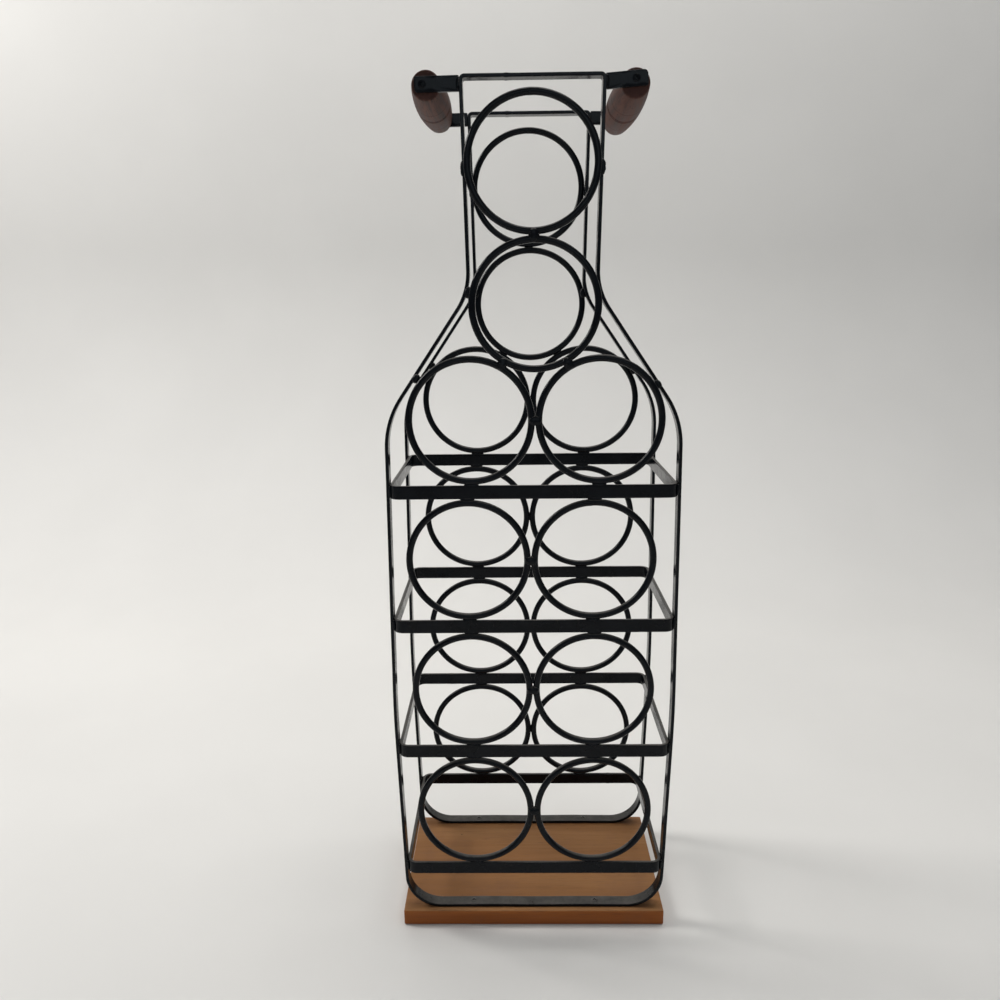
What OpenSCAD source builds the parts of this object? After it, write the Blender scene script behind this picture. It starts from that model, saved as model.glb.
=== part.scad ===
// Tall rack that holds ten wine bottles on their sides. Two flat-steel frames in the outline of a
// bottle stand on a wooden board. Four flat-steel hoops join the frames and carry ten pairs of
// rings, and two turned wooden handles span the frames beside the neck.
// X runs to the right, Y to the back and Z up, in millimetres. The origin is on the floor, under
// the middle of the rack.

/* [Bottle rings] */
// Inside diameter of a ring
ring_bore = 107.4; // [100:0.2:110]
// Diameter of the rod that the rings are bent from
rod_d = 6.6; // [5:0.1:7]
// Gap between neighbouring rings, bridged by a weld
ring_gap = 0.2; // [0.2:0.1:1]
// Gap between a ring and the hoop above or below it, bridged by a weld
hoop_gap = 0.75; // [0.4:0.05:2]
// Distance between the front rings and the back rings
ring_span = 170.8; // [166:0.2:180]
// Sideways shift of each front pair of rings, from the upper tier to the lowest
front_shift = [1.6, -2.5, -0.9, 0]; // [-4:0.1:4]
// Sideways shift of each back pair of rings, from the upper tier to the lowest
back_shift = [0.9, -0.6, 0.4, 0.6]; // [-4:0.1:4]
// Sideways shift of the top rings against the rings below them
top_shift = -2; // [-4:0.1:4]

/* [Flat strip] */
// Width of the flat strip
strip_w = 13; // [11:0.1:14]
// Thickness of the flat strip
strip_t = 3.2; // [2:0.1:4]
// Distance between the front frame and the back frame
frame_span = 149.4; // [140:0.2:150]
// Outer radius of a hoop's corners
hoop_bend = 10; // [8:0.5:12]

/* [Frame outline] */
// Overall height of the rack
rack_h = 840; // [830:1:860]
// Width of a frame at its feet
foot_w = 271.5; // [266:0.5:274]
// Width of a frame at its widest place
belly_w = 285; // [280:1:290]
// Height of the widest place above the floor
belly_h = 240; // [220:1:300]
// Width of a frame at the shoulders
shoulder_w = 279.5; // [274:0.5:282]
// Height of the shoulders above the floor
shoulder_h = 542; // [536:1:548]
// Width of a frame where the neck starts
neck_w = 119.5; // [117:0.5:122]
// Height of the neck's start above the floor
neck_h = 659; // [654:1:664]
// Width of a frame across its top
mouth_w = 127; // [124:0.5:130]
// Clear height between the board and the lowest hoop
foot_clear = 45.6; // [42:0.2:50]
// Bend radius of the feet
foot_bend = 38; // [30:1:40]
// Bend radius of the sides at the widest place
belly_bend = 1500; // [1000:50:2000]
// Bend radius of the shoulders
shoulder_bend = 87; // [60:1:100]
// Bend radius where the neck starts
neck_bend = 57; // [40:1:70]
// Bend radius of the top corners
mouth_bend = 5; // [4:0.5:8]

/* [Board] */
// Width of the board
board_w = 277; // [265:1:290]
// Depth of the board
board_d = 170; // [168:1:174]
// Thickness of the board
board_t = 17; // [16:0.5:22]
// How far the board's middle lies in front of the rack's middle
board_shift = 2.5; // [0:0.5:3]
// How far the board's middle lies to the left of the rack's middle
board_left = 0.9; // [0:0.1:2]
// Rounding of the board's edges
board_edge = 1.2; // [0.5:0.1:3]

/* [Handles] */
// Diameter of a handle at its ends
handle_end_d = 25; // [20:0.2:26]
// Diameter of a handle at its middle
handle_mid_d = 33; // [28:0.2:36]
// Distances from the rack's middle to the left and the right handle's axis
handle_x = [92.5, 89.3]; // [86:0.1:96]
// Heights of the left handle's axis at its front and its back
left_handle_z = [833, 833]; // [820:0.5:840]
// Heights of the right handle's axis at its front and its back
right_handle_z = [832.5, 828.5]; // [820:0.5:840]
// Rounding of a handle's ends
handle_edge = 1.6; // [0.5:0.1:3]
// Place of a handle's first groove along its axis, from its middle to the back
groove_y = -3; // [-40:1:40]
// Distance between a handle's two grooves
groove_pitch = 4; // [2:0.5:10]
// Width of a groove
groove_w = 1.2; // [0.6:0.1:2]
// Lengths of a left and a right ear
ear_l = [38.8, 36.2]; // [34:0.1:42]
// Distance that an ear's upper edge lies below the top of the frame
ear_drop = 0; // [0:0.1:2]
// Upward tilt of the front and the back ear on the left, in degrees
left_ear_tilt = [-0.8, -0.8]; // [-6:0.2:6]
// Upward tilt of the front and the back ear on the right, in degrees
right_ear_tilt = [4.4, -1]; // [-6:0.2:6]

/* [Screws] */
// Distances from the rack's middle to the left and the right handle screws
handle_screw_x = [95.5, 89.4]; // [86:0.1:98]
// Shank diameter of a handle screw
handle_screw_d = 4; // [3.5:0.1:5]
// Length of a handle screw under its head
handle_screw_l = 25; // [18:1:32]
// Head diameter of a handle screw
handle_head_d = 7.5; // [7:0.1:8]
// Head height of a handle screw
handle_head_h = 2.4; // [2:0.1:3]
// Shank diameter of a base screw
base_screw_d = 3.6; // [3:0.1:4]
// Overall length of a base screw
base_screw_l = 16; // [12:0.5:17]
// Head diameter of a base screw
base_head_d = 7.2; // [6.6:0.1:8]
// Distance from the rack's middle to a base screw
base_screw_x = 65; // [40:1:80]

/* [Hidden] */
$fn = 96;
RING_SIDES = 240; // sides round a ring
RING_START = 73; // where a ring starts, away from its welds
ROD_START = 100; // where its section starts, on its inner side
EPS = 0.01;
TIERS = 4;
RINGS = 2 * TIERS + 2;
SIDES = [-1, 1];
FACES = ["front", "back"];
EAR_NODES = ["front_left_ear", "front_right_ear", "back_left_ear", "back_right_ear"];

STEEL = "#15181c";
BEAD = "#24282d";
BOARD_WOOD = "#9a6a4c";
HANDLE_WOOD = "#6b4a40";

// Rings
ring_d = ring_bore + 2 * rod_d;
ring_r = (ring_bore + rod_d) / 2;
ring_pitch = ring_d + ring_gap;
ring_y = ring_span / 2;
frame_y = frame_span / 2;

// Levels: hoop 1 is the highest and ring 1 the top one
tier_pitch = ring_d + strip_w + 2 * hoop_gap;
function hoop_z(k) = board_t + foot_clear + strip_w / 2 + (TIERS - k) * tier_pitch;
function tier_z(k) = hoop_z(k) + tier_pitch / 2;
valley_ring_z = tier_z(1) + sqrt(pow(ring_pitch, 2) - pow(ring_pitch / 2, 2));
top_ring_z = valley_ring_z + ring_pitch;
function tier_shift(face, k) = (face < 0 ? front_shift : back_shift)[k - 1];

// Centres of the rings on the front (face = -1) or the back (face = 1), as x and z
function ring_centres(face) = concat(
    [[tier_shift(face, 1) + top_shift, top_ring_z], [tier_shift(face, 1), valley_ring_z]],
    [for (k = [1 : TIERS], side = SIDES)
        [tier_shift(face, k) + side * ring_pitch / 2, tier_z(k)]]
);

// Corners of a frame's outer face, right half from the feet up, and the bend at each
half_outline = [
    [foot_w / 2, board_t], [belly_w / 2, belly_h], [shoulder_w / 2, shoulder_h],
    [neck_w / 2, neck_h], [mouth_w / 2, rack_h]
];
half_bends = [foot_bend, belly_bend, shoulder_bend, neck_bend, mouth_bend];
outline_last = len(half_outline) - 1;
outline = concat(
    half_outline,
    [for (i = [outline_last : -1 : 0]) [-half_outline[i][0], half_outline[i][1]]]
);
outline_bends = concat(half_bends, [for (i = [outline_last : -1 : 0]) half_bends[i]]);

// Half width of a frame's outer face at height z, straight between the corners
function frame_half(z) = lookup(z, [for (p = half_outline) [p[1], p[0]]]);

// A hoop's side bars lie against the inner faces of the frames
hoop_slack = 0.1;
function hoop_half(k) =
    min(frame_half(hoop_z(k) - strip_w / 2), frame_half(hoop_z(k) + strip_w / 2))
    - strip_t - hoop_slack;
hoop_half_d = ring_y + strip_t / 2;

// Ears and handles
ear_z = rack_h - ear_drop - strip_w / 2;
ear_corner = 1.6;
handle_l = frame_span - strip_t;
handle_bow = (handle_mid_d - handle_end_d) / 2;
handle_spare = 1;
handle_bow_r = (pow(handle_l / 2, 2) + pow(handle_bow, 2)) / (2 * handle_bow);

// Screw recesses are a plain cross
recess_w = 0.9;
recess_l = 3.6;
recess_depth = 1.4;
pilot_spare = 0.6;

// How far a chord may stray from a bend
bend_error = 0.02;

// Weld beads
bead_r = 2.4;
thin_bead_r = 1.6;
ring_bead_r = 4.6;
ring_weld_l = 12.5;
hoop_weld_l = 15;

// ---- Shapes that several pieces share ----

// Rectangle with rounded corners, its middle at the origin
module rounded_rect(w, d, r) {
    square([w - 2 * r, d], center = true);
    square([w, d - 2 * r], center = true);
    for (x = SIDES, y = SIDES)
        translate([x * (w / 2 - r), y * (d / 2 - r)]) circle(r);
}

// Turn at corner i of a closed run of points, and the length it takes off each straight
function turn(p, i) =
    let (n = len(p), a = p[i] - p[(i + n - 1) % n], b = p[(i + 1) % n] - p[i])
    atan2(cross(a, b), a * b);
function bend_cut(p, r, i) = r[i] * tan(abs(turn(p, i)) / 2);

// Points round the bend at corner i, on the line that lies inset inside the outer face
function bend_points(p, r, inset, i) =
    let (
        n = len(p),
        angle = turn(p, i),
        side = sign(angle),
        way = p[i] - p[(i + n - 1) % n],
        start = atan2(way[1], way[0]),
        centre = p[i] - bend_cut(p, r, i) * way / norm(way)
            + side * r[i] * [-sin(start), cos(start)],
        steps = ceil(abs(angle) / (2 * acos(1 - bend_error / r[i])))
    )
    [for (k = [0 : steps])
        let (a = start + angle * k / steps)
        centre - (side * r[i] - inset) * [-sin(a), cos(a)]];

// Closed loop of strip with its width along Z. The points are the corners of its outer face,
// anticlockwise, and r holds the bend radius of that face at each.
module bent_strip(p, r) {
    lines = [for (inset = [0, strip_t]) [for (i = [0 : len(p) - 1]) each bend_points(p, r, inset, i)]];
    linear_extrude(strip_w, center = true) difference() {
        polygon(lines[0]);
        polygon(lines[1]);
    }
}

// Ring of rod that stands upright, facing the front
module ring(centre, y) {
    translate([centre[0], y, centre[1]]) rotate([90, 0, 0]) rotate(RING_START)
        rotate_extrude($fn = RING_SIDES) translate([ring_r, 0]) rotate(ROD_START) circle(d = rod_d);
}

// Weld bead with round ends, its middle at the origin and its length along Z
module bead(length, r) {
    cylinder(h = length - 2 * r, r = r, center = true);
    for (end = SIDES) translate([0, 0, end * (length / 2 - r)]) sphere(r);
}

// Cross recess that is cut down from the origin
module cross_recess() {
    for (a = [0, 90])
        rotate(a) translate([-recess_l / 2, -recess_w / 2, -recess_depth])
            cube([recess_l, recess_w, recess_depth + EPS]);
}

// Places children at an ear's root, x running outwards along the ear
module at_ear(side, face) {
    tilt = (side < 0 ? left_ear_tilt : right_ear_tilt)[face < 0 ? 0 : 1];
    mirror([side < 0 ? 1 : 0, 0, 0]) translate([mouth_w / 2, 0, ear_z])
        rotate([0, -tilt, 0]) children();
}

// Places children on the axis of a handle's screw, on the same terms
module at_handle_screw(side, face) {
    at_ear(side, face) translate([handle_screw_x[side < 0 ? 0 : 1] - mouth_w / 2, 0, 0]) children();
}

// Mirrors children, drawn at the front, to the back where face is 1
module on_face(face) {
    mirror([0, face > 0 ? 1 : 0, 0]) children();
}

// ---- Pieces ----

module base_board() {
    color(BOARD_WOOD) difference() {
        translate([-board_left, -board_shift, board_t / 2]) intersection() {
            linear_extrude(board_t, center = true) rounded_rect(board_w, board_d, board_edge);
            rotate([90, 0, 0]) linear_extrude(board_d, center = true)
                rounded_rect(board_w, board_t, board_edge);
            rotate([90, 0, 90]) linear_extrude(board_w, center = true)
                rounded_rect(board_d, board_t, board_edge);
        }
        for (x = SIDES, y = SIDES)
            translate([x * base_screw_x, y * frame_y, board_t + strip_t - base_screw_l - pilot_spare])
                cylinder(h = board_t, d = base_screw_d);
    }
}

module frame(y) {
    color(STEEL) difference() {
        translate([0, y, 0]) rotate([90, 0, 0]) bent_strip(outline, outline_bends);
        for (x = SIDES) translate([x * base_screw_x, y, board_t])
            cylinder(h = strip_t + EPS, d1 = base_screw_d, d2 = base_head_d);
    }
}

module hoop(k) {
    x = hoop_half(k);
    corners = [[x, -hoop_half_d], [x, hoop_half_d], [-x, hoop_half_d], [-x, -hoop_half_d]];
    color(STEEL) translate([0, 0, hoop_z(k)]) bent_strip(corners, [for (c = corners) hoop_bend]);
}

module ear(side, face) {
    l = ear_l[side < 0 ? 0 : 1];
    color(STEEL) translate([0, face * frame_y, 0]) difference() {
        at_ear(side, face) rotate([90, 0, 0]) linear_extrude(strip_t, center = true) {
            translate([0, -strip_w / 2]) square([l - ear_corner, strip_w]);
            translate([l / 2, 0]) rounded_rect(l, strip_w, ear_corner);
        }
        at_handle_screw(side, face) rotate([90, 0, 0])
            cylinder(h = 2 * strip_t, d = handle_screw_d, center = true);
    }
}

// Half profile of a handle: x is the radius and y runs along the axis, to the back
module handle_profile() {
    difference() {
        intersection() {
            translate([handle_mid_d / 2 - handle_bow_r, 0]) circle(handle_bow_r, $fn = 256);
            translate([0, -handle_l / 2 - handle_spare]) square([handle_mid_d, handle_l + 2 * handle_spare]);
        }
        for (end = SIDES) translate([handle_end_d / 2, end * (handle_l / 2 + handle_spare)]) rotate(45)
            square(handle_edge * sqrt(2), center = true);
        for (y = [groove_y, groove_y + groove_pitch])
            translate([handle_mid_d / 2 - handle_bow_r + sqrt(pow(handle_bow_r, 2) - pow(y, 2)), y])
                circle(d = groove_w, $fn = 24);
    }
}

// The handle's ends are cut square to the ears, however its axis slopes
module handle(side) {
    heights = side < 0 ? left_handle_z : right_handle_z;
    slope = atan2(heights[1] - heights[0], handle_l);
    x = side * handle_x[side < 0 ? 0 : 1];
    color(HANDLE_WOOD) difference() {
        intersection() {
            translate([x, 0, (heights[0] + heights[1]) / 2]) rotate([slope - 90, 0, 0])
                rotate_extrude() handle_profile();
            translate([x, 0, ear_z]) cube([2 * handle_mid_d, handle_l, 3 * handle_mid_d], center = true);
        }
        for (face = SIDES) translate([0, face * (handle_l / 2 + strip_t), 0])
            at_handle_screw(side, face) rotate([90, 0, 0])
                cylinder(h = 2 * (handle_screw_l + pilot_spare), d = handle_screw_d, center = true);
    }
}

module handle_screw() {
    difference() {
        union() {
            translate([0, 0, -handle_screw_l]) cylinder(h = handle_screw_l, d = handle_screw_d);
            rotate_extrude() intersection() {
                translate([0, handle_head_h - handle_head_d]) circle(handle_head_d);
                square([handle_head_d / 2, handle_head_h]);
            }
        }
        translate([0, 0, handle_head_h]) cross_recess();
    }
}

module handle_screws() {
    color(STEEL) for (side = SIDES, face = SIDES)
        translate([0, face * (frame_y + strip_t / 2), 0]) at_handle_screw(side, face)
            rotate([-90 * face, 0, 0]) rotate(20) handle_screw();
}

module base_screw() {
    difference() {
        union() {
            translate([0, 0, -strip_t])
                cylinder(h = strip_t, d1 = base_screw_d, d2 = base_head_d);
            translate([0, 0, -base_screw_l]) cylinder(h = base_screw_l, d = base_screw_d);
        }
        cross_recess();
    }
}

module base_screws() {
    color(STEEL) for (x = SIDES, y = SIDES)
        translate([x * base_screw_x, y * frame_y, board_t + strip_t]) rotate(30 * x) base_screw();
}

// ---- Welds, each cut back to the pieces that it joins ----

// Bead that lies across ring a and ring b, in front of the point where they almost touch
module ring_weld(a, b) {
    middle = (a + b) / 2;
    way = b - a;
    difference() {
        translate([middle[0], -ring_y - 1.6, middle[1]])
            rotate([0, 90 - atan2(way[1], way[0]), 0]) bead(ring_weld_l, ring_bead_r);
        ring(a, -ring_y);
        ring(b, -ring_y);
    }
}

module ring_welds() {
    pairs = concat([[0, 1], [1, 2], [1, 3]], [for (k = [1 : TIERS]) [2 * k, 2 * k + 1]]);
    color(BEAD) for (face = SIDES) on_face(face)
        for (pair = pairs) ring_weld(ring_centres(face)[pair[0]], ring_centres(face)[pair[1]]);
}

module ring_to_hoop_welds() {
    color(BEAD) for (face = SIDES) on_face(face)
        for (k = [1 : TIERS], side = SIDES) {
            centre = ring_centres(face)[2 * k + (side < 0 ? 0 : 1)];
            weld_between_ring_and_hoop(centre, hoop_z(k) + strip_w / 2);
            if (k > 1) weld_between_ring_and_hoop(centre, hoop_z(k - 1) - strip_w / 2);
        }
}

// Bead along X where the ring comes nearest to the hoop's edge
module weld_between_ring_and_hoop(centre, edge_z) {
    away = sign(edge_z - centre[1]);
    difference() {
        translate([centre[0], -ring_y, edge_z]) rotate([0, 90, 0]) bead(hoop_weld_l, bead_r);
        ring(centre, -ring_y);
        translate([centre[0] - hoop_weld_l, -hoop_half_d, edge_z - (away > 0 ? 0 : strip_w)])
            cube([2 * hoop_weld_l, strip_t, strip_w]);
    }
}

// Bead across the step between a ring and the frame behind it. It sits at x and z, and angle is
// its lean from upright.
module weld_between_ring_and_frame(centre, x, z, angle, length, r) {
    difference() {
        translate([x, -frame_y - strip_w / 2, z]) rotate([0, -angle, 0]) bead(length, r);
        ring(centre, -ring_y);
        translate([0, -frame_y, 0]) rotate([90, 0, 0]) bent_strip(outline, outline_bends);
    }
}

module ring_to_frame_welds() {
    slope = atan2(shoulder_w / 2 - neck_w / 2, neck_h - shoulder_h);
    shoulder_out = ring_d / 2 + 2;
    color(BEAD) for (face = SIDES, side = SIDES) on_face(face) mirror([side < 0 ? 1 : 0, 0, 0]) {
        centres = [for (c = ring_centres(face)) [side * c[0], c[1]]];
        shoulder_ring = centres[side < 0 ? 2 : 3];
        lean = (ring_pitch / 2 - shoulder_ring[0]) / 2;
        weld_between_ring_and_frame(centres[0], frame_half(top_ring_z) - 1.4, top_ring_z - 4, -1, 14, 3);
        weld_between_ring_and_frame(centres[1], frame_half(neck_h) - 1.2, neck_h - 1, 8, 11, 3.2);
        weld_between_ring_and_frame(
            shoulder_ring, shoulder_ring[0] + lean + shoulder_out * cos(slope),
            shoulder_ring[1] + shoulder_out * sin(slope), slope, 9, 3.6
        );
    }
}

// Upright beads in the wedges between the hoops' rounded corners and the frames
module hoop_welds() {
    color(BEAD) for (face = SIDES, side = SIDES) on_face(face) mirror([side < 0 ? 1 : 0, 0, 0])
        for (k = [1 : TIERS]) difference() {
            translate([hoop_half(k) - 0.2, -frame_y - strip_w / 2 - 0.6, hoop_z(k)])
                bead(strip_w - 2, thin_bead_r);
            translate([hoop_half(k) - hoop_bend, hoop_bend - hoop_half_d, hoop_z(k) - strip_w])
                cylinder(h = 2 * strip_w, r = hoop_bend);
            translate([0, -frame_y, 0]) rotate([90, 0, 0]) bent_strip(outline, outline_bends);
        }
}

// Upright beads that join the ears to the sides of the neck
module ear_welds() {
    color(BEAD) for (face = SIDES, side = SIDES) on_face(face) at_ear(side, face)
        translate([0, -frame_y, 0]) difference() {
            translate([0.4, -strip_t / 2, -0.5]) bead(strip_w - 2, thin_bead_r);
            translate([-strip_w + 0.15, -strip_w / 2, -strip_w]) cube([strip_w, strip_w, 2 * strip_w]);
            translate([0, -strip_t / 2, -strip_w]) cube([strip_w, strip_w, 2 * strip_w]);
        }
}

base_board();
frame(-frame_y);  // front_frame
frame(frame_y);  // back_frame
for (k = [1 : TIERS])
    hoop(k);
for (i = [1 : RINGS], face = [0, 1])
    color(STEEL) ring(ring_centres(SIDES[face])[i - 1], SIDES[face] * ring_y);
for (i = [0 : 3])
    ear(SIDES[i % 2], SIDES[floor(i / 2)]);
handle(-1);  // left_handle
handle(1);  // right_handle
handle_screws();
base_screws();
ring_welds();
ring_to_hoop_welds();
ring_to_frame_welds();
hoop_welds();
ear_welds();
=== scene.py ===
"""Looks of the wine rack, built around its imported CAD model.

The rack's own frame is +X to the right, +Y to the back and +Z up, with the origin on the floor
under its middle. Lengths here are in metres unless a name ends in _MM.
"""

import math
import random

import bmesh
import bpy
import numpy as np
from mathutils import Matrix, Vector, noise


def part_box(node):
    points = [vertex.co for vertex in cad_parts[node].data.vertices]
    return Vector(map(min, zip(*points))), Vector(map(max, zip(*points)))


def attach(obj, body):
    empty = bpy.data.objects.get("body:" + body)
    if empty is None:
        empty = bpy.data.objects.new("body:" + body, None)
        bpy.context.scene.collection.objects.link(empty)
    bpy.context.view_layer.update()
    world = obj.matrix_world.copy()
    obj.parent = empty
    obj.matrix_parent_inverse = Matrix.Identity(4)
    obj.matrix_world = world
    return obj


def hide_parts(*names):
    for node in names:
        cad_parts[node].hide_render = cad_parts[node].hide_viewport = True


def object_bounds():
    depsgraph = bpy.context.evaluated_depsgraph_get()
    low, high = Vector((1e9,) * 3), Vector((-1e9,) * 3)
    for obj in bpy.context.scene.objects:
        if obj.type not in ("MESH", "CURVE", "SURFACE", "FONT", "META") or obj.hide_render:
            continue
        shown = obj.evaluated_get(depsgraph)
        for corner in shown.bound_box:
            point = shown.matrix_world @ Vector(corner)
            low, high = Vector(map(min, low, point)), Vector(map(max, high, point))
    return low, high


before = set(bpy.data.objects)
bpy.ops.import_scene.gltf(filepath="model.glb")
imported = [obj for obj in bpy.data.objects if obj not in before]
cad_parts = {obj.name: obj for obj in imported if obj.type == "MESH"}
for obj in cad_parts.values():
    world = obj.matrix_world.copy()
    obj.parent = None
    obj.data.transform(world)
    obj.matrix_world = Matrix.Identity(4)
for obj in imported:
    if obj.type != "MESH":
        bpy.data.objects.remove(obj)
cad_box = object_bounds()

MM = 0.001
BODY = "root"
FACES = (("front", -1), ("back", 1))
SIDES = (("left", -1), ("right", 1))
HOOPS = range(1, 5)
RINGS = range(1, 11)

# Flat strip
STRIP_T = 3.2 * MM
STRIP_W = 13 * MM
STRIP_EDGE = 0.5 * MM
HOOP_BEND = 10 * MM
HOOP_SEAM_X = 96 * MM

# Corners of a frame's outer face, right half from the foot up: half width, height, bend radius
HALF_OUTLINE_MM = (
    (135.75, 17, 38), (142.5, 240, 1500), (139.75, 542, 87), (59.75, 659, 57), (63.5, 840, 5),
)


# ---- Small helpers ----

def middle(node):
    """Middle of a CAD node's box."""
    low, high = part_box(node)
    return (low + high) / 2


def unit(v):
    return v / np.linalg.norm(v, axis=-1, keepdims=True)


def wobble(p, scale, seed):
    """Smooth noise from -1 to 1 at point p. scale is the size of its features."""
    return noise.noise(Vector(p) / scale + Vector((seed * 7.31, seed * 3.17, seed * 1.73)))


class Mesh:
    """Collects grids of vertices into one mesh, with a value at each vertex that marks worn paint
    on the metal and painted groove shade on the handles.
    """

    def __init__(self):
        self.points, self.faces, self.wear, self.count = [], [], [], 0

    def grid(self, points, closed_u=True, closed_v=True, wear=None, cap_u=False, flip=False):
        """points is an (n, m, 3) array. cap_u closes the first and last row with a fan."""
        n, m = points.shape[:2]
        base = self.count
        for i in range(n if closed_u else n - 1):
            for j in range(m if closed_v else m - 1):
                a, b = base + i * m, base + (i + 1) % n * m
                k = (j + 1) % m
                quad = (a + j, a + k, b + k, b + j)
                self.faces.append(quad[::-1] if flip else quad)
        self.points.append(points.reshape(-1, 3))
        self.wear.append(np.zeros(n * m) if wear is None else np.broadcast_to(wear, (n, m)).ravel())
        self.count += n * m
        if cap_u:
            for row in (0, n - 1):
                ring = [base + row * m + j for j in range(m)]
                self.points.append(points[row].mean(0)[None])
                self.wear.append(np.zeros(1))
                hub = self.count
                self.count += 1
                for j in range(m):
                    tri = (ring[j], ring[(j + 1) % m], hub)
                    self.faces.append(tri[::-1] if (row == 0) == flip else tri)

    def disc(self, ring):
        """Closes a ring of points with a fan."""
        hub = self.count + len(ring)
        self.points += [ring, ring.mean(0)[None]]
        self.wear += [np.zeros(len(ring)), np.zeros(1)]
        for j in range(len(ring)):
            self.faces.append((self.count + j, self.count + (j + 1) % len(ring), hub))
        self.count = hub + 1

    def piece(self, name, material, node, sharp_deg=35):
        """The finished object, which stands for CAD node node."""
        mesh = bpy.data.meshes.new(name)
        # unevenness never reaches past the CAD model's own box
        points = np.clip(np.concatenate(self.points), *(np.array(c) for c in cad_box))
        mesh.from_pydata(points.tolist(), [], self.faces)
        mesh.validate()
        mesh.attributes.new("wear", "FLOAT", "POINT").data.foreach_set(
            "value", np.concatenate(self.wear).astype(np.float32)
        )
        mesh.materials.append(material)
        mesh.polygons.foreach_set("use_smooth", [True] * len(mesh.polygons))
        mesh.set_sharp_from_angle(angle=math.radians(sharp_deg))
        obj = bpy.data.objects.new(name, mesh)
        bpy.context.scene.collection.objects.link(obj)
        fix_normals(mesh)
        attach(obj, BODY)
        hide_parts(node)
        return obj


def fix_normals(mesh):
    """Turns every face outwards."""
    b = bmesh.new()
    b.from_mesh(mesh)
    bmesh.ops.recalc_face_normals(b, faces=b.faces)
    b.to_mesh(mesh)
    b.free()


# ---- Node materials ----

class Nodes:
    """Short way to build a material's node tree."""

    def __init__(self, name):
        self.material = bpy.data.materials.new(name)
        self.material.use_nodes = True
        self.tree = self.material.node_tree
        self.tree.nodes.clear()
        self.output = self.add("OutputMaterial")
        self.shader = self.add("BsdfPrincipled")
        self.link(self.shader.outputs[0], self.output.inputs[0])
        self.place = self.add("TexCoord").outputs["Object"]

    def add(self, kind, **settings):
        """Node of that kind. A setting is an input's name, or else an attribute's."""
        node = self.tree.nodes.new("ShaderNode" + kind)
        for key, value in settings.items():
            label = key.replace("_", " ")
            if label in node.inputs:
                self.feed(node.inputs[label], value)
            else:
                setattr(node, key, value)
        return node

    def link(self, output, socket):
        self.tree.links.new(output, socket)

    def feed(self, socket, value):
        if isinstance(value, bpy.types.NodeSocket):
            self.link(value, socket)
        elif isinstance(value, tuple) and len(value) == 3 and socket.type == "RGBA":
            socket.default_value = (*value, 1)
        else:
            socket.default_value = value

    def stretched(self, scale, offset=(0, 0, 0)):
        """Object coordinates times scale."""
        return self.add("Mapping", Vector=self.place, Location=offset, Scale=scale).outputs[0]

    def noise(self, scale, vector=None, detail=2.0, roughness=0.5, distortion=0.0):
        return self.add(
            "TexNoise", Vector=vector or self.place, Scale=scale, Detail=detail,
            Roughness=roughness, Distortion=distortion,
        ).outputs["Fac"]

    def spread(self, value, low, high, to_low=0.0, to_high=1.0, smooth=True):
        """value from low..high to to_low..to_high, clamped."""
        return self.add(
            "MapRange", interpolation_type="SMOOTHSTEP" if smooth else "LINEAR",
            Value=value, From_Min=low, From_Max=high, To_Min=to_low, To_Max=to_high,
        ).outputs[0]

    def math(self, operation, a, b=0.5):
        node = self.add("Math", operation=operation)
        self.feed(node.inputs[0], a)
        self.feed(node.inputs[1], b)
        return node.outputs[0]

    def mix(self, factor, a, b, blend="MIX"):
        node = self.add("Mix", data_type="RGBA", blend_type=blend)
        for label, value in (("Factor_Float", factor), ("A_Color", a), ("B_Color", b)):
            socket = next(s for s in node.inputs if s.identifier == label)
            self.feed(socket, value)
        return next(s for s in node.outputs if s.identifier == "Result_Color")

    def bump(self, height, depth, strength=1.0, under=None):
        """Bump of depth metres, on top of the bump under."""
        node = self.add("Bump", Height=height, Distance=depth, Strength=strength)
        if under is not None:
            self.link(under, node.inputs["Normal"])
        return node.outputs[0]

    def facing(self, axis):
        """How far the surface faces along an object axis, from -1 to 1."""
        normal = self.add("NewGeometry").outputs["Normal"]
        return self.add("SeparateXYZ", Vector=normal).outputs[axis]

    def done(self, **inputs):
        for key, value in inputs.items():
            self.feed(self.shader.inputs[key.replace("_", " ")], value)
        return self.material


def black_paint(name, lumps):
    """Brushed-on black paint over steel, lighter grey on upward faces from dust and a painted
    sheen, with thin spots on sharp edges.
    lumps is the depth of its uneven surface."""
    n = Nodes(name)
    cloud = n.noise(55, detail=3)
    speck = n.noise(900, detail=2)
    colour = n.mix(n.spread(cloud, 0.3, 0.7), (0.0024, 0.0034, 0.0052), (0.0045, 0.0060, 0.0086))
    # upward faces turn grey: real dust, plus a painted sheen standing in for the bright reflection
    # on top faces
    up = n.spread(n.facing("Z"), 0.45, 1.0)
    patchy = n.spread(n.noise(70, detail=5, roughness=0.7), 0.25, 0.75, 0.45, 1.0)
    dust_and_sheen = n.math("MULTIPLY", up, patchy)
    colour = n.mix(n.math("MULTIPLY", dust_and_sheen, 0.42), colour, (0.20, 0.185, 0.165))
    wear = n.add("Attribute", attribute_name="wear").outputs["Fac"]
    thin = n.math("ADD", n.math("MULTIPLY", wear, 0.32), n.noise(240, detail=5))
    thin = n.spread(thin, 0.88, 0.95)
    colour = n.mix(n.math("MULTIPLY", thin, 0.5), colour, (0.06, 0.05, 0.045))
    rough = n.spread(n.noise(130, detail=4), 0.3, 0.7, 0.13, 0.23)
    rough = n.math("ADD", rough, n.math("MULTIPLY", dust_and_sheen, 0.25))
    bump = n.bump(n.noise(420, detail=2), lumps)
    bump = n.bump(speck, 0.012 * MM, 0.6, bump)
    return n.done(
        Base_Color=colour, Roughness=rough, Normal=bump, Specular_IOR_Level=0.16,
    )


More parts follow.
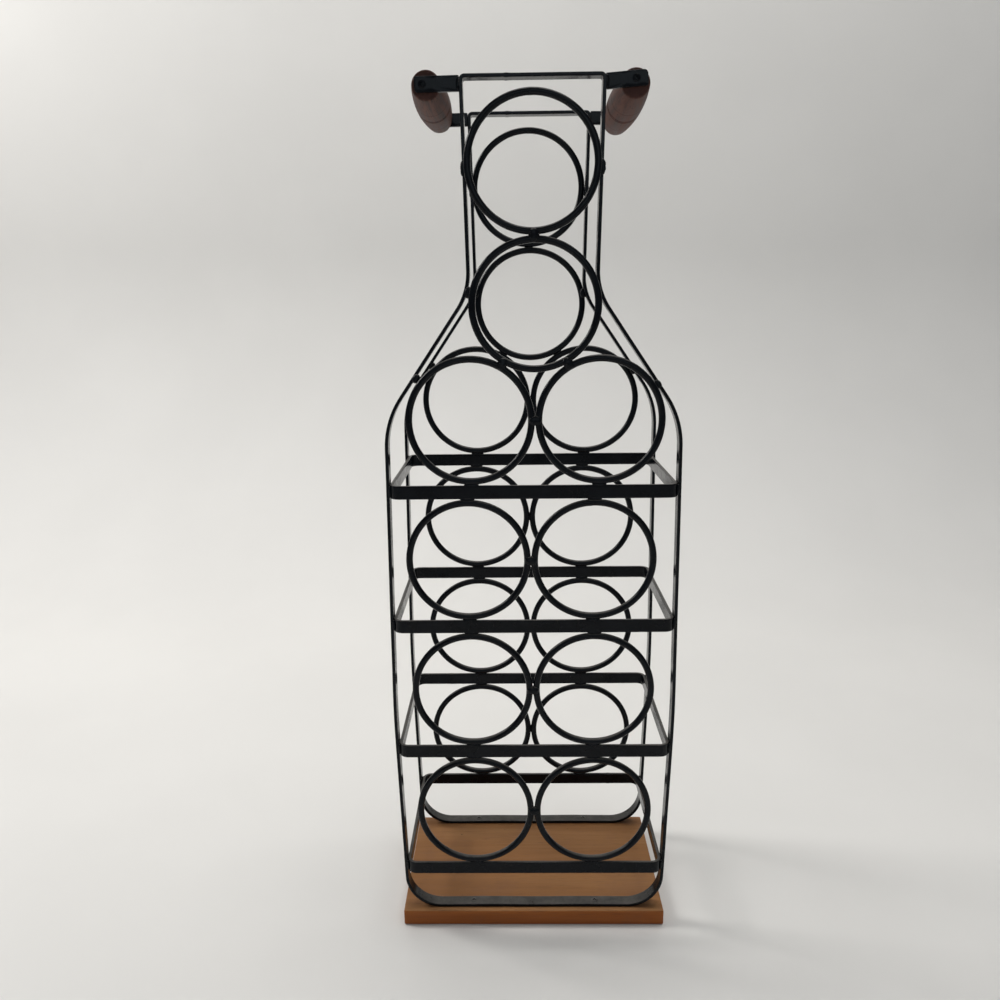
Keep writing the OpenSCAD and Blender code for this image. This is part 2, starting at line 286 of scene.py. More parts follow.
def turned_wood(name):
    """Dark reddish-brown stained wood with its grain along Y."""
    n = Nodes(name)
    grain = n.stretched((1, 0.045, 1))
    streak = n.noise(230, grain, detail=5, roughness=0.62, distortion=0.4)
    broad = n.noise(38, n.stretched((1, 0.12, 1), (3, 1, 2)), detail=2)
    pore = n.noise(1500, n.stretched((1, 0.03, 1), (0.4, 0, 0.7)), detail=1)
    colour = n.mix(n.spread(streak, 0.32, 0.68), (0.029, 0.0120, 0.0095), (0.130, 0.060, 0.046))
    colour = n.mix(n.spread(broad, 0.35, 0.7, 0.0, 0.55), colour, (0.090, 0.036, 0.028))
    pores = n.spread(pore, 0.62, 0.74)
    colour = n.mix(n.math("MULTIPLY", pores, 0.7), colour, (0.018, 0.008, 0.006))
    # end faces a flatter, darker brown: end grain, plus painted shade for the ears' shadow over the
    # ends
    end = n.spread(n.math("ABSOLUTE", n.facing("Y")), 0.25, 0.9)
    colour = n.mix(n.math("MULTIPLY", end, 0.75), colour, (0.060, 0.029, 0.024))
    # painted shade in the grooves: the wood turns near black where the vertices mark a groove
    groove_shade = n.add("Attribute", attribute_name="wear").outputs["Fac"]
    colour = n.mix(n.math("MULTIPLY", groove_shade, 0.92), colour, (0.014, 0.005, 0.004))
    rough = n.spread(streak, 0.3, 0.7, 0.42, 0.56)
    bump = n.bump(streak, 0.06 * MM)
    bump = n.bump(pores, -0.08 * MM, 0.7, bump)
    return n.done(Base_Color=colour, Roughness=rough, Normal=bump, Specular_IOR_Level=0.07)


def board_wood(name):
    """Mid-brown board with its grain along X: paler and greyer and dusty on top, richer on its
    edges.
    """
    n = Nodes(name)
    ring_cut = n.stretched((0.05, 1, 1.6))
    band = n.noise(34, ring_cut, detail=3, distortion=0.6)
    streak = n.noise(300, n.stretched((0.03, 1, 1), (1, 2, 3)), detail=5, roughness=0.6)
    pore = n.noise(1300, n.stretched((0.035, 1, 1), (0.3, 0.1, 0.2)), detail=1)
    up = n.spread(n.facing("Z"), 0.3, 0.9)
    rich = n.mix(n.spread(band, 0.3, 0.7), (0.20, 0.050, 0.006), (0.38, 0.112, 0.018))
    rich = n.mix(n.spread(streak, 0.3, 0.7, 0.0, 0.6), rich, (0.26, 0.068, 0.010))
    pale_top = n.mix(n.spread(band, 0.3, 0.7), (0.205, 0.086, 0.027), (0.29, 0.138, 0.049))
    pale_top = n.mix(n.spread(streak, 0.3, 0.7, 0.0, 0.5), pale_top, (0.245, 0.108, 0.036))
    # upward faces take the paler, greyer colour and the edges the richer one
    colour = n.mix(up, rich, pale_top)
    pores = n.spread(pore, 0.62, 0.72)
    colour = n.mix(n.math("MULTIPLY", pores, 0.45), colour, (0.09, 0.035, 0.018))
    speck = n.spread(n.noise(210, detail=1), 0.80, 0.83)
    colour = n.mix(n.math("MULTIPLY", speck, 0.8), colour, (0.02, 0.014, 0.012))
    stain = n.spread(n.noise(24, vector=n.stretched((1, 1, 1), (5, 2, 0)), detail=4), 0.5, 0.75)
    colour = n.mix(n.math("MULTIPLY", stain, 0.25), colour, (0.16, 0.075, 0.045))
    rough = n.math("ADD", n.spread(streak, 0.3, 0.7, 0.42, 0.55), n.math("MULTIPLY", up, 0.16))
    bump = n.bump(streak, 0.08 * MM)
    bump = n.bump(pores, -0.1 * MM, 0.7, bump)
    return n.done(Base_Color=colour, Roughness=rough, Normal=bump, Specular_IOR_Level=0.25)


def plain(name, colour, roughness):
    """Studio surface with a faint mottle."""
    n = Nodes(name)
    cloud = n.spread(n.noise(3, detail=3), 0.3, 0.7, 0.97, 1.0)
    grey = n.add("CombineXYZ", X=cloud, Y=cloud, Z=cloud).outputs[0]
    shade = n.mix(1.0, colour, grey, "MULTIPLY")
    return n.done(Base_Color=shade, Roughness=roughness)


paint = black_paint("black_paint", 0.05 * MM)
weld_paint = black_paint("weld_paint", 0.12 * MM)
handle_finish = turned_wood("handle_wood")
board_finish = board_wood("board_wood")


# ---- Bent strip: frames and hoops ----

def bent_path(corners, inset, spacing):
    """Points and outward normals along a closed line of straights and bends. corners are the
    (x, y, bend radius) of the outer face, anticlockwise, and the line runs inset inside it."""
    p = np.array([c[:2] for c in corners], float)
    way_in = unit(p - np.roll(p, 1, 0))
    way_out = np.roll(way_in, -1, 0)
    turns = np.arctan2(
        way_in[:, 0] * way_out[:, 1] - way_in[:, 1] * way_out[:, 0], (way_in * way_out).sum(1)
    )
    arcs = []
    for i, (_, _, r) in enumerate(corners):
        turn, side = turns[i], math.copysign(1, turns[i])
        left = np.array([-way_in[i][1], way_in[i][0]])
        centre = p[i] - r * math.tan(abs(turn) / 2) * way_in[i] + side * r * left
        start = math.atan2(way_in[i][1], way_in[i][0])
        steps = max(6, int(abs(turn) * r / spacing), int(abs(turn) / math.radians(5)))
        a = start + turn * np.linspace(0, 1, steps + 1)
        normal = np.stack([np.sin(a), -np.cos(a)], 1)
        arcs.append((centre + (side * r - inset) * normal, normal))
    points, normals = [], []
    for i, (arc, normal) in enumerate(arcs):
        points.append(arc)
        normals.append(normal)
        start, end = arc[-1], arcs[(i + 1) % len(arcs)][0][0]
        steps = max(2, int(np.linalg.norm(end - start) / spacing))
        t = np.linspace(0, 1, steps + 1)[1:-1, None]
        points.append(start + (end - start) * t)
        normals.append(np.repeat(normal[-1:], len(t), 0))
    return np.concatenate(points), np.concatenate(normals)


def strip_section(thickness, width, edge, steps=3):
    """(across thickness, across width) points round the strip, and the wear of each."""
    points, wear = [], []
    for cx, cy, first in ((1, 1, 0), (-1, 1, 90), (-1, -1, 180), (1, -1, 270)):
        for k in range(steps + 1):
            a = math.radians(first + 90 * k / steps)
            points.append((
                cx * (thickness / 2 - edge) + edge * math.cos(a),
                cy * (width / 2 - edge) + edge * math.sin(a),
            ))
            wear.append(1.0)
    # points along the flats keep the paint's highlights even
    dense, dense_wear = [], []
    for i, point in enumerate(points):
        following = points[(i + 1) % len(points)]
        dense.append(point)
        dense_wear.append(wear[i])
        if i % (steps + 1) == steps:
            share = (0.1, 0.5, 0.9) if abs(following[0] - point[0]) < 1e-9 else (0.5,)
            for s in share:
                dense.append(tuple(a + (b - a) * s for a, b in zip(point, following)))
                dense_wear.append(0.0)
    return np.array(dense), np.array(dense_wear)


def strip_loop(mesh, corners, to_3d, sag, seam=None):
    """Adds a closed strip. to_3d turns (x, y on the path, height across the width) into a point.
    sag(point) moves the strip along its outward normal, and seam is a point of its closing weld."""
    points, normals = bent_path(corners, STRIP_T / 2, 2.5 * MM)
    section, wear = strip_section(STRIP_T, STRIP_W, STRIP_EDGE)
    grid = np.empty((len(points), len(section), 3))
    for i, (point, normal) in enumerate(zip(points, normals)):
        middle_point = point + normal * sag(point)
        swell = 1.0
        if seam is not None:
            swell += 0.35 * math.exp(-(np.linalg.norm(point - seam) / (1.3 * MM)) ** 2)
        lean = 0.006 * wobble((*point, 0.3), 120 * MM, 5)
        for j, (u, v) in enumerate(section):
            flat = middle_point + normal * (u * swell + v * lean)
            grid[i, j] = to_3d(flat[0], flat[1], v)
    mesh.grid(grid, wear=wear[None, :])


def whole_outline():
    half = [(x * MM, z * MM, r * MM) for x, z, r in HALF_OUTLINE_MM]
    return half + [(-x, z, r) for x, z, r in reversed(half)]


def make_frame(face, side):
    y = middle(face + "_frame").y
    seed = 3 + side

    def sag(point):
        """The long sides are nearly true; the bottom run is wavy between its screws."""
        x, z = point
        wave = 0.12 * MM * wobble((x, 0, z), 60 * MM, seed)
        if z < 22 * MM and abs(x) < 95 * MM:
            wave += -0.3 * MM * (1 - math.cos(x / (95 * MM) * 2 * math.pi)) / 2
        return wave

    mesh = Mesh()
    strip_loop(
        mesh, whole_outline(), lambda x, z, v: (x, y + v, z), sag,
        seam=np.array([-22 * MM, 839 * MM]),
    )
    mesh.piece(face + "_frame_strip", paint, face + "_frame")


def make_hoop(k):
    low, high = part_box(f"hoop_{k}")
    z = (low.z + high.z) / 2
    corners = [
        (high.x, low.y, HOOP_BEND), (high.x, high.y, HOOP_BEND),
        (low.x, high.y, HOOP_BEND), (low.x, low.y, HOOP_BEND),
    ]

    def sag(point):
        return 0.12 * MM * wobble((*point, k), 70 * MM, k)

    def to_3d(x, y, v):
        return x, y, z + v + 0.25 * MM * wobble((x, y, 0.1), 150 * MM, 10 + k)

    mesh = Mesh()
    seam = np.array([(-1) ** k * HOOP_SEAM_X, high.y - STRIP_T / 2])
    strip_loop(mesh, corners, to_3d, sag, seam=seam)
    mesh.piece(f"hoop_{k}_strip", paint, f"hoop_{k}")


# ---- Rings ----

def ring_size(node):
    """Centre, mid radius and rod radius of a CAD ring."""
    low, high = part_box(node)
    rod = (high.y - low.y) / 2
    return (low + high) / 2, (high.z - low.z) / 2 - rod, rod


def make_ring(face, i, number):
    """Ring of rod, a touch out of round, with the ground-down seam where the rod's ends meet."""
    node = f"{face}_ring_{i}"
    centre, radius, rod = ring_size(node)
    rng = random.Random(number)
    phases = [rng.uniform(0, math.tau) for _ in range(3)]
    seam = rng.uniform(0, math.tau)
    around, across = 240, 28
    grid = np.empty((around, across, 3))
    for a in range(around):
        angle = math.tau * a / around
        bend = radius + 0.10 * MM * math.cos(2 * angle + phases[0]) \
            + 0.05 * MM * math.cos(3 * angle + phases[1])
        twist = 0.12 * MM * math.cos(2 * angle + phases[2])
        off = (angle - seam + math.pi) % math.tau - math.pi
        arc = abs(off) * radius
        swell = 0.05 * math.exp(-(arc / (1.6 * MM)) ** 2)
        swell -= 0.04 * math.exp(-(arc / (0.4 * MM)) ** 2)
        for b in range(across):
            turn = math.tau * b / across
            uneven = 0.008 * wobble((angle * 9, turn * 0.6, number), 1, 2)
            r = rod * (1 + swell + uneven) - 0.03 * MM
            out = bend + r * math.cos(turn)
            grid[a, b] = (
                centre.x + out * math.cos(angle), centre.y + r * math.sin(turn) + twist,
                centre.z + out * math.sin(angle),
            )
    mesh = Mesh()
    mesh.grid(grid)
    mesh.piece(node + "_rod", paint, node)


# ---- Ears, handles and screws ----

# Upward tilt of each ear in degrees, and the heights of a handle's axis at its front and back
EAR_TILT_DEG = {("left", "front"): -0.8, ("left", "back"): -0.8,
                ("right", "front"): 4.4, ("right", "back"): -1.0}
EAR_L = {"left": 38.8 * MM, "right": 36.2 * MM}
EAR_ROOT = (63.5 * MM, 833.5 * MM)
SCREW_OUT = {"left": 32.0 * MM, "right": 25.9 * MM}  # from the ear's root
HANDLE_Z = {"left": (833.0 * MM, 833.0 * MM), "right": (832.5 * MM, 828.5 * MM)}


def ear_frame(name, face):
    """Matrix of an ear's own axes: x runs outwards, from the neck's corner."""
    side = -1 if name == "left" else 1
    turn = Matrix.Rotation(-math.radians(EAR_TILT_DEG[name, face]), 4, "Y")
    if side < 0:
        turn = Matrix.Scale(-1, 4, Vector((1, 0, 0))) @ turn
    return Matrix.Translation((side * EAR_ROOT[0], 0, EAR_ROOT[1])) @ turn


def bar_outline(x0, x1, half, corners, steps=6):
    """Outline anticlockwise, from the lower right. corners are the four corner radii."""
    spots = ((x1, -half, 270), (x1, half, 0), (x0, half, 90), (x0, -half, 180))
    points = []
    for (x, z, first), r in zip(spots, corners):
        cx, cz = x - math.copysign(r, x - (x0 + x1) / 2), z - math.copysign(r, z)
        for k in range(steps + 1):
            a = math.radians(first + 90 * k / steps)
            points.append((cx + r * math.cos(a), cz + r * math.sin(a)))
    return np.array(points)


def make_ear(face, face_side, name, side):
    """Flat bar with eased edges and a hole for the handle's screw."""
    node = f"{face}_{name}_ear"
    y = middle(node).y
    place = ear_frame(name, face)
    # hand-filed outer corners: the lower one on the left, the upper one on the right
    low_r, high_r = (3.2 * MM, 1.5 * MM) if side < 0 else (1.5 * MM, 3.4 * MM)
    outline = bar_outline(
        -0.2 * MM, EAR_L[name] - 0.1 * MM, STRIP_W / 2, (low_r, high_r, 0.8 * MM, 0.8 * MM)
    )
    hub = np.array([SCREW_OUT[name], 0])
    hole_r = 2.15 * MM
    # the outline is sampled at the same angles about the hole, so the face is one ring of quads
    count = 96
    loop = resample(outline, 4 * count)
    angles = np.arctan2(loop[:, 1] - hub[1], loop[:, 0] - hub[0])
    order = np.argsort(angles)
    outer = loop[order][::4]
    outer_angles = angles[order][::4]
    hole = hub + hole_r * np.stack([np.cos(outer_angles), np.sin(outer_angles)], 1)
    half, edge = STRIP_T / 2, 0.4 * MM
    outward = unit(outer - hub)
    rows, wear = [], []
    profile = [(0, half), (0.35, half), (1, half)]
    for inset, depth in profile:
        rows.append((hole + (outer - outward * edge - hole) * inset, depth))
        wear.append(0.0)
    for k in range(1, 4):
        a = math.radians(90 - 30 * k)
        rows.append((outer - outward * edge * (1 - math.cos(a)), half - edge + edge * math.sin(a)))
        wear.append(1.0)
    for k in range(0, 4):
        a = math.radians(-30 * k)
        rows.append((outer - outward * edge * (1 - math.cos(a)), -half + edge + edge * math.sin(a)))
        wear.append(1.0)
    for inset, depth in ((0.35, -half), (0, -half)):
        rows.append((hole + (outer - outward * edge - hole) * inset, depth))
        wear.append(0.0)
    grid = np.empty((len(rows), count, 3))
    for i, (flat, depth) in enumerate(rows):
        for j, (x, z) in enumerate(flat):
            bow = 0.12 * MM * wobble((x, z, face_side), 25 * MM, side)
            grid[i, j] = place @ Vector((x, y + face_side * depth + bow, z))
    mesh = Mesh()
    mesh.grid(grid, wear=np.array(wear)[:, None])
    mesh.piece(node + "_bar", paint, node)


def resample(loop, count):
    """count points spaced evenly along a closed line."""
    ends = np.roll(loop, -1, 0)
    steps = np.linalg.norm(ends - loop, axis=1)
    along = np.concatenate([[0], np.cumsum(steps)])
    closed = np.concatenate([loop, loop[:1]])
    s = np.linspace(0, along[-1], count, endpoint=False)
    return np.stack([np.interp(s, along, closed[:, k]) for k in range(2)], 1)


def make_handle(name, side):
    """Turned barrel with a rounded rim at both ends and two fine grooves round its middle."""
    node = name + "_handle"
    low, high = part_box(node)
    half = (high.y - low.y) / 2
    axis_x = (low.x + high.x) / 2
    mid_r, end_r = 16.5 * MM, 12.5 * MM
    bow = mid_r - end_r
    bow_r = (half ** 2 + bow ** 2) / (2 * bow)
    grooves = ((-3 * MM, 0.55), (1 * MM, 0.65), (-27 * MM, 0.16), (38 * MM, 0.14))
    rim = 1.6 * MM
    hole_r = 2.2 * MM

    def axis_z(y):
        front, back = HANDLE_Z[name]
        return front + (back - front) * (y + half) / (2 * half)

    stations = [(-half, end_r * share, 0.0) for share in (0.0, 0.3, 0.6)]
    for k in range(9):
        a = math.radians(90 * k / 8)
        stations.append((-half + rim * (1 - math.cos(a)), end_r - rim + rim * math.sin(a), 0.0))
    for y in np.linspace(-half + rim * 1.2, half - rim * 1.2, 420):
        r = mid_r - bow_r + math.sqrt(bow_r ** 2 - y ** 2)
        # dark is painted shade along each groove, passed to the wood's colour through the vertices
        dark = 0.0
        for at, depth in grooves:
            cut = math.exp(-((y - at) / (0.6 * MM)) ** 2)
            r -= depth * MM * cut
            dark = max(dark, cut * min(1, depth * 1.9))
        stations.append((y, r, dark))
    for k in range(9):
        a = math.radians(90 * k / 8)
        stations.append((half - rim * (1 - math.sin(a)), end_r - rim + rim * math.cos(a), 0.0))
    stations += [(half, end_r * share, 0.0) for share in (0.6, 0.3, 0.0)]
    around = 96
    grid = np.empty((len(stations), around, 3))
    for i, (y, r, _) in enumerate(stations):
        # the end faces have the screw's pilot hole in them
        if r < end_r * 0.25:
            hole = ear_frame(name, "front" if y < 0 else "back") @ Vector((SCREW_OUT[name], y, 0))
        for j in range(around):
            a = math.tau * j / around
            if r < end_r * 0.25:
                grid[i, j] = (hole.x + hole_r * math.cos(a), y, hole.z + hole_r * math.sin(a))
                continue
            rr = r
            if r > end_r * 0.7:
                rr += 0.10 * MM * wobble((math.cos(a) * 2, y * 60, math.sin(a) * 2), 1, side)
            grid[i, j] = (axis_x + rr * math.cos(a), y, axis_z(y) + rr * math.sin(a))
    mesh = Mesh()
    wear = np.array([s[2] for s in stations])[:, None]
    mesh.grid(grid, closed_u=False, wear=wear)
    # the pilot hole's wall and floor close the ends
    depth = 24 * MM
    for end, face in ((-1, "front"), (1, "back")):
        hole = ear_frame(name, face) @ Vector((SCREW_OUT[name], 0, 0))
        wall = np.empty((3, around, 3))
        for i, (y, r) in enumerate(((end * half, hole_r), (end * (half - depth), hole_r),
                                    (end * (half - depth), hole_r * 0.4))):
            for j in range(around):
                a = math.tau * j / around
                wall[i, j] = (hole.x + r * math.cos(a), y, hole.z + r * math.sin(a))
        mesh.grid(wall, closed_u=False, cap_u=False)
        mesh.disc(wall[2])
    mesh.piece(node + "_wood", handle_finish, node, sharp_deg=50)


def screw_head(mesh, place, radius, dome, rim, recess_l, recess_w, recess_depth, shank_r, shank_l):
    """Adds one screw. Its local z points out of the head, and z 0 is the seat.
    dome is the head's height over its rim, and rim the rim's height over the seat."""
    around = 96
    rows = []
    inner = np.linspace(0.04, 0.96, 26)
    for share in inner:
        r = share * radius
        ring = []
        for j in range(around):
            a = math.tau * j / around
            x, y = r * math.cos(a), r * math.sin(a)
            top = rim + dome * (1 - share ** 2.4)
            cut = 0.0
            for along, over in ((x, y), (y, x)):
                inside_l = min(1, max(0, (recess_l / 2 - abs(along)) / (0.35 * MM)))
                inside_w = min(1, max(0, (recess_w / 2 - abs(over)) / (0.12 * MM)))
                cut = max(cut, inside_l * inside_w)
            ring.append((x, y, top - recess_depth * cut))
        rows.append(ring)
    for k in range(1, 6):
        a = math.radians(90 * k / 5)
        r = radius * (0.96 + 0.04 * math.sin(a))
        z = rim + dome * (1 - 0.96 ** 2.4) - 0.25 * rim * (1 - math.cos(a))
        rows.append([(r * math.cos(math.tau * j / around), r * math.sin(math.tau * j / around), z)
                     for j in range(around)])
    below = ((radius, 0.0), (shank_r, 0.0), (shank_r, -shank_l * 0.9), (shank_r * 0.3, -shank_l))
    for r, z in below:
        rows.append([(r * math.cos(math.tau * j / around), r * math.sin(math.tau * j / around), z)
                     for j in range(around)])
    grid = np.array([[place @ Vector(p) for p in row] for row in rows])
    wear = np.concatenate([np.zeros(len(inner)), np.full(5, 0.7), np.zeros(4)])[:, None]
    mesh.grid(grid, closed_u=False, wear=wear, cap_u=True)


def make_handle_screws():
    mesh = Mesh()
    for face, face_side in FACES:
        for name, side in SIDES:
            y = middle(f"{face}_{name}_ear").y + face_side * STRIP_T / 2
            outward = Matrix.Rotation(math.radians(90), 4, "X")
            if face_side > 0:
                outward = Matrix.Rotation(math.radians(-90), 4, "X")
            place = ear_frame(name, face) @ Matrix.Translation((SCREW_OUT[name], y, 0)) @ outward \
                @ Matrix.Rotation(math.radians(12 + 31 * side + 17 * face_side), 4, "Z")
            screw_head(
                mesh, place, radius=3.5 * MM, dome=0.95 * MM, rim=0.45 * MM, recess_l=2.8 * MM,
                recess_w=1.15 * MM, recess_depth=1.6 * MM, shank_r=1.9 * MM, shank_l=24 * MM,
            )
    mesh.piece("handle_screws_heads", paint, "handle_screws", sharp_deg=30)


BASE_SCREW_X = 65 * MM


def make_base_screws():
    mesh = Mesh()
    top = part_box("base_screws")[1].z
    for x in (-BASE_SCREW_X, BASE_SCREW_X):
        for face, face_side in FACES:
            y = middle(face + "_frame").y
            place = Matrix.Translation((x, y, top - 0.1 * MM)) \
                @ Matrix.Rotation(x * 400 + face_side, 4, "Z")
            screw_head(
                mesh, place, radius=3.5 * MM, dome=0.8 * MM, rim=0.35 * MM, recess_l=3.2 * MM,
                recess_w=1.0 * MM, recess_depth=1.3 * MM, shank_r=1.7 * MM, shank_l=14 * MM,
            )
    mesh.piece("base_screws_heads", paint, "base_screws", sharp_deg=30)


# ---- Board ----

def make_board():
    """Board with eased, slightly uneven edges."""
    low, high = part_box("base_board")
    size, centre = high - low, (high + low) / 2
    edge = 1.4 * MM
    section, wear = strip_section(size.z, size.y, edge, steps=5)
    body = np.linspace(-size.x / 2 + edge * 1.5, size.x / 2 - edge * 1.5, 120)
    stations = []
    for k in range(0, 7):
        a = math.radians(15 * k)
        stations.append((-size.x / 2 + edge * (1 - math.sin(a)), edge * (1 - math.cos(a))))
    stations = stations[::-1] + [(x, 0.0) for x in body] + [(-x, i) for x, i in stations]
    grid = np.empty((len(stations), len(section), 3))
    for i, (x, inset) in enumerate(stations):
        for j, (u, v) in enumerate(section):
            shrink_u = (size.z / 2 - inset) / (size.z / 2)
            shrink_v = (size.y / 2 - inset) / (size.y / 2)
            y, z = v * shrink_v, u * shrink_u
            dent = wear[j] * 0.25 * MM * max(0, wobble((x, y, z), 14 * MM, 4))
            y -= math.copysign(dent, y)
            z -= math.copysign(dent, z)
            grid[i, j] = (centre.x + x, centre.y + y, centre.z + z)
    mesh = Mesh()
    mesh.grid(grid, closed_u=False, wear=wear[None, :], cap_u=True)
    mesh.piece("base_board_wood", board_finish, "base_board", sharp_deg=50)


# ---- Welds ----

def bead(mesh, centre, along, out, length, width, height, seed):
    """Lumpy weld bead. along is its length's direction, and out the way it stands proud."""
    along, out = Vector(along).normalized(), Vector(out).normalized()
    across = out.cross(along).normalized()
    rows, around = 30, 24
    grid = np.empty((rows, around, 3))
    for i in range(rows):
        t = -1 + 2 * (i + 0.5) / rows
        t = math.sin(t * math.pi / 2)
        taper = math.sqrt(max(0.0, 1 - abs(t) ** 2.6))
        ripple = 1 + 0.05 * math.sin(t * length / (1.5 * MM) * math.pi)
        for j in range(around):
            a = math.tau * j / around
            p = Vector(centre) + along * (t * length / 2)
            spread = (1 + 0.16 * wobble((t * 2.2, math.cos(a), math.sin(a)), 1, seed)) * ripple
            p += across * (math.cos(a) * width / 2 * taper * spread)
            p += out * (math.sin(a) * height / 2 * taper * spread)
            grid[i, j] = p
    mesh.grid(grid, closed_u=False, cap_u=True)


RING_PITCH = 120.8 * MM
RING_R_OUT = 60.3 * MM


def ring_centre(face, i):
    return middle(f"{face}_ring_{i}")


def make_ring_welds():
    mesh = Mesh()
    pairs = [(1, 2), (2, 3), (2, 4)] + [(i, i + 1) for i in (3, 5, 7, 9)]
    for face, side in FACES:
        for seed, (a, b) in enumerate(pairs):
            start, end = ring_centre(face, a), ring_centre(face, b)
            spot = (start + end) / 2 + Vector((0, side * 1.8 * MM, 0))
            bead(mesh, spot, end - start, (0, side, 0), 12.0 * MM, 9.6 * MM, 6.4 * MM,
                 seed + 20 * (side + 1))
    mesh.piece("ring_welds_beads", weld_paint, "ring_welds", sharp_deg=60)


HOOP_BEAD = (14 * MM, 3.4 * MM, 4.2 * MM)  # length, width and height


def make_ring_to_hoop_welds():
    mesh = Mesh()
    for face, side in FACES:
        for k in HOOPS:
            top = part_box(f"hoop_{k}")[1].z
            for i in (2 * k + 1, 2 * k + 2):
                centre = ring_centre(face, i)
                seed = 10 * i + side
                bead(mesh, (centre.x, centre.y, top + 0.4 * MM), (1, 0, 0), (0, side, 0),
                     *HOOP_BEAD, seed)
                if k > 1:
                    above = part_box(f"hoop_{k - 1}")[0].z
                    bead(mesh, (centre.x, centre.y, above - 0.4 * MM), (1, 0, 0), (0, side, 0),
                         *HOOP_BEAD, seed + 5)
    mesh.piece("ring_to_hoop_welds_beads", weld_paint, "ring_to_hoop_welds",
               sharp_deg=60)


def frame_half(z):
    """Half width of a frame's outer face at height z, in metres."""
    return float(np.interp(
        z / MM, [p[1] for p in HALF_OUTLINE_MM], [p[0] for p in HALF_OUTLINE_MM]
    )) * MM


def make_ring_to_frame_welds():
    """Beads across the step from the rings to the frame."""
    mesh = Mesh()
    (shoulder_half, shoulder_z, _), (neck_half, neck_z, _) = HALF_OUTLINE_MM[2:4]
    slope = math.atan2(shoulder_half - neck_half, neck_z - shoulder_z)
    for face, side in FACES:
        edge_y = middle(face + "_frame").y + side * STRIP_W / 2
        top_z = ring_centre(face, 1).z
        for right in (-1, 1):
            shoulder_ring = ring_centre(face, 4 if right > 0 else 3)
            ring_x = right * shoulder_ring.x
            lean = (RING_PITCH / 2 - ring_x) / 2
            out = RING_R_OUT + 2 * MM
            # the left bead sits a little higher on the shoulder than the right one
            up = -3.5 * MM if right > 0 else 5 * MM
            # x, z, lean in degrees, then the bead's length and width in mm
            spots = (
                (frame_half(top_z) - 1.4 * MM, top_z - 4 * MM, -1, 14, 6.0),
                (frame_half(neck_z * MM) - 1.2 * MM, (neck_z - 1) * MM, 8, 10.5, 6.6),
                (ring_x + lean + out * math.cos(slope) - up * math.sin(slope),
                 shoulder_ring.z + out * math.sin(slope) + up * math.cos(slope),
                 math.degrees(slope), 9, 6.6),
            )
            for i, (x, z, angle, length, width) in enumerate(spots):
                a = math.radians(angle)
                bead(mesh, (right * x, edge_y, z), (-right * math.sin(a), 0, math.cos(a)),
                     (0, side, 0), length * MM, width * MM, 5.4 * MM, 30 + i + right)
    mesh.piece("ring_to_frame_welds_beads", weld_paint, "ring_to_frame_welds",
               sharp_deg=60)


def make_hoop_welds():
    mesh = Mesh()
    for face, side in FACES:
        edge_y = middle(face + "_frame").y + side * STRIP_W / 2
        for k in HOOPS:
            low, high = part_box(f"hoop_{k}")
            for right in (-1, 1):
                x = right * (high.x - 0.1 * MM)
                bead(mesh, (x, edge_y + side * 0.5 * MM, (low.z + high.z) / 2), (0, 0, 1),
                     (0, side, 0), 11 * MM, 3.0 * MM, 3.0 * MM, 40 + 3 * k + right)
    mesh.piece("hoop_welds_beads", weld_paint, "hoop_welds", sharp_deg=60)


def make_ear_welds():
    mesh = Mesh()
    for face, face_side in FACES:
        for name, side in SIDES:
            y = middle(f"{face}_{name}_ear").y + face_side * STRIP_T / 2
            spot = ear_frame(name, face) @ Vector((0.5 * MM, y, -0.2 * MM))
            bead(mesh, spot, (0, 0, 1), (0, face_side, 0), 11.5 * MM, 4.0 * MM, 3.2 * MM,
                 60 + side + 3 * face_side)
    mesh.piece("ear_welds_beads", weld_paint, "ear_welds", sharp_deg=60)


for face, side in FACES:
    make_frame(face, side)
for k in HOOPS:
    make_hoop(k)
number = 0
for face, side in FACES:
    for i in RINGS:
        number += 1
        make_ring(face, i, number)
for face, face_side in FACES:
    for name, side in SIDES:
        make_ear(face, face_side, name, side)
for name, side in SIDES:
    make_handle(name, side)
make_handle_screws()
make_base_screws()
make_board()
make_ring_welds()
make_ring_to_hoop_welds()
make_ring_to_frame_welds()
make_hoop_welds()
make_ear_welds()


# ---- Studio ----

def make_studio():
    """Pale floor that curves up into a pale wall behind the rack."""
    wall_y, bend, reach, top = 1.5, 0.8, 4.0, 3.5
    profile = [(-reach, 0.0), (wall_y - bend, 0.0)]
    profile += [
        (wall_y - bend + bend * math.sin(a), bend * (1 - math.cos(a)))
        for a in np.linspace(0, math.pi / 2, 24)[1:]
    ]
    profile.append((wall_y, top))
    points = [(x, y, z) for y, z in profile for x in (-reach, reach)]
    faces = [(2 * i, 2 * i + 1, 2 * i + 3, 2 * i + 2) for i in range(len(profile) - 1)]
    mesh = bpy.data.meshes.new("studio_floor")
    mesh.from_pydata(points, [], faces)
    mesh.polygons.foreach_set("use_smooth", [True] * len(mesh.polygons))
    mesh.materials.append(plain("studio_pale", (0.72, 0.71, 0.69), 0.7))
    floor = bpy.data.objects.new("studio_floor", mesh)
    bpy.context.scene.collection.objects.link(floor)


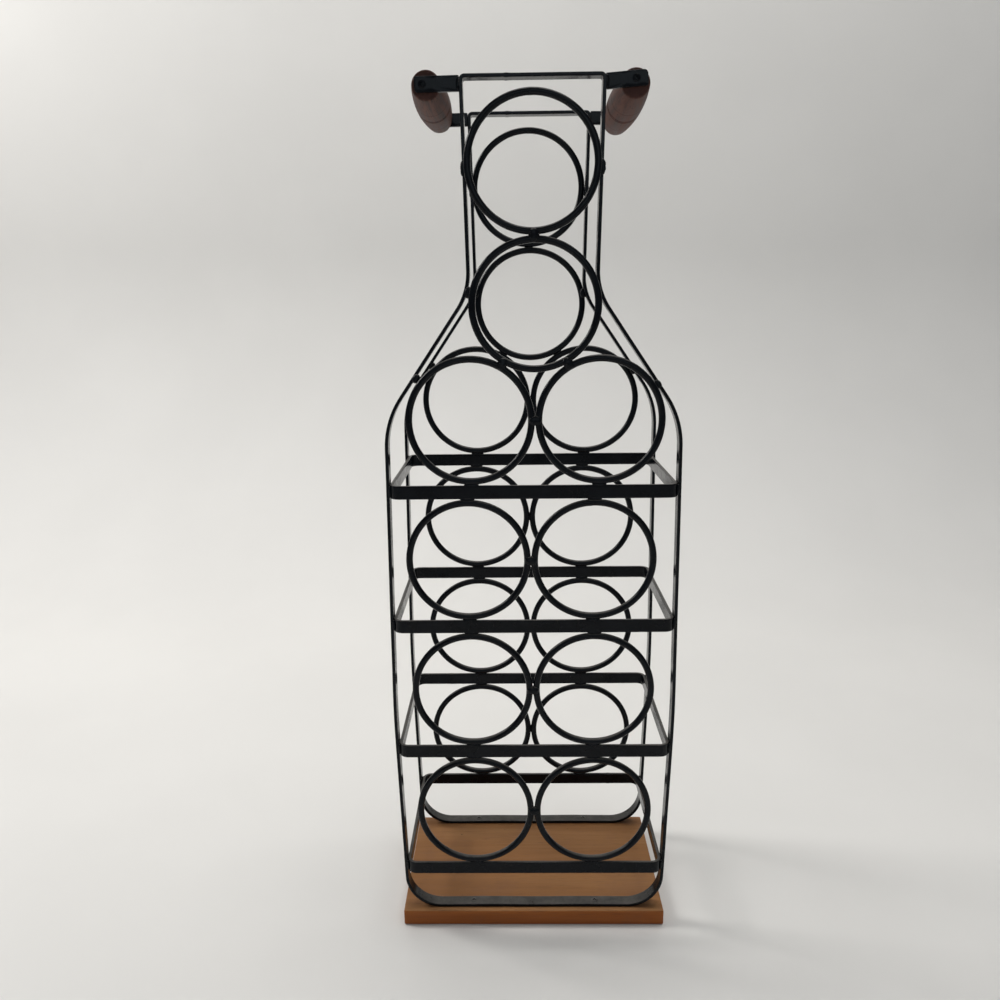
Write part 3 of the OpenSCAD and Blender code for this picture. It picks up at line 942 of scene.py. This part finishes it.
def area_light(name, at, aim, size, power, colour):
    lamp = bpy.data.lights.new(name, "AREA")
    lamp.shape = "RECTANGLE"
    lamp.size, lamp.size_y = size
    lamp.energy = power
    lamp.color = colour
    obj = bpy.data.objects.new(name, lamp)
    obj.location = at
    obj.rotation_euler = (Vector(aim) - Vector(at)).to_track_quat("-Z", "Y").to_euler()
    bpy.context.scene.collection.objects.link(obj)


CAMERA_AT = (-0.0197, -0.8668, 0.6491)
CAMERA_LENS_MM, SENSOR_MM = 30.46, 36
CAMERA_TURN_DEG = (13.14, 0.89, -0.64)  # pitch down, yaw to the left, roll


def make_camera():
    """Camera in front of the rack, at the height of its neck, looking a little down."""
    camera = bpy.data.objects.new("camera", bpy.data.cameras.new("camera"))
    camera.data.lens = CAMERA_LENS_MM
    camera.data.sensor_width = SENSOR_MM
    camera.data.clip_start = 0.01
    pitch, yaw, roll = (math.radians(turn) for turn in CAMERA_TURN_DEG)
    forward = Vector((-math.sin(yaw) * math.cos(pitch), math.cos(yaw) * math.cos(pitch),
                      -math.sin(pitch)))
    up = Vector((-math.sin(yaw) * math.sin(pitch), math.cos(yaw) * math.sin(pitch),
                 math.cos(pitch)))
    right = forward.cross(up)
    right, up = (
        right * math.cos(roll) + up * math.sin(roll),
        up * math.cos(roll) - right * math.sin(roll),
    )
    turn = Matrix((right, up, -forward)).transposed().to_4x4()
    camera.matrix_world = Matrix.Translation(CAMERA_AT) @ turn
    bpy.context.scene.collection.objects.link(camera)
    bpy.context.scene.camera = camera


make_studio()
CENTRE = (0, 0, 0.42)
area_light("window", (-2.0, 0.6, 2.0), CENTRE, (0.6, 0.9), 32, (1.0, 0.98, 0.95))
area_light("ceiling", (0.3, 0.5, 2.9), CENTRE, (2.4, 1.8), 51, (1.0, 0.985, 0.955))
area_light("room", (0.3, -3.2, 1.8), CENTRE, (3.0, 1.3), 10, (0.80, 0.92, 1.0))
world = bpy.data.worlds.new("world")
bpy.context.scene.world = world
world.use_nodes = True
world.node_tree.nodes["Background"].inputs["Color"].default_value = (0.80, 0.83, 0.88, 1)
world.node_tree.nodes["Background"].inputs["Strength"].default_value = 0.20
bpy.context.scene.view_settings.view_transform = "Standard"
make_camera()
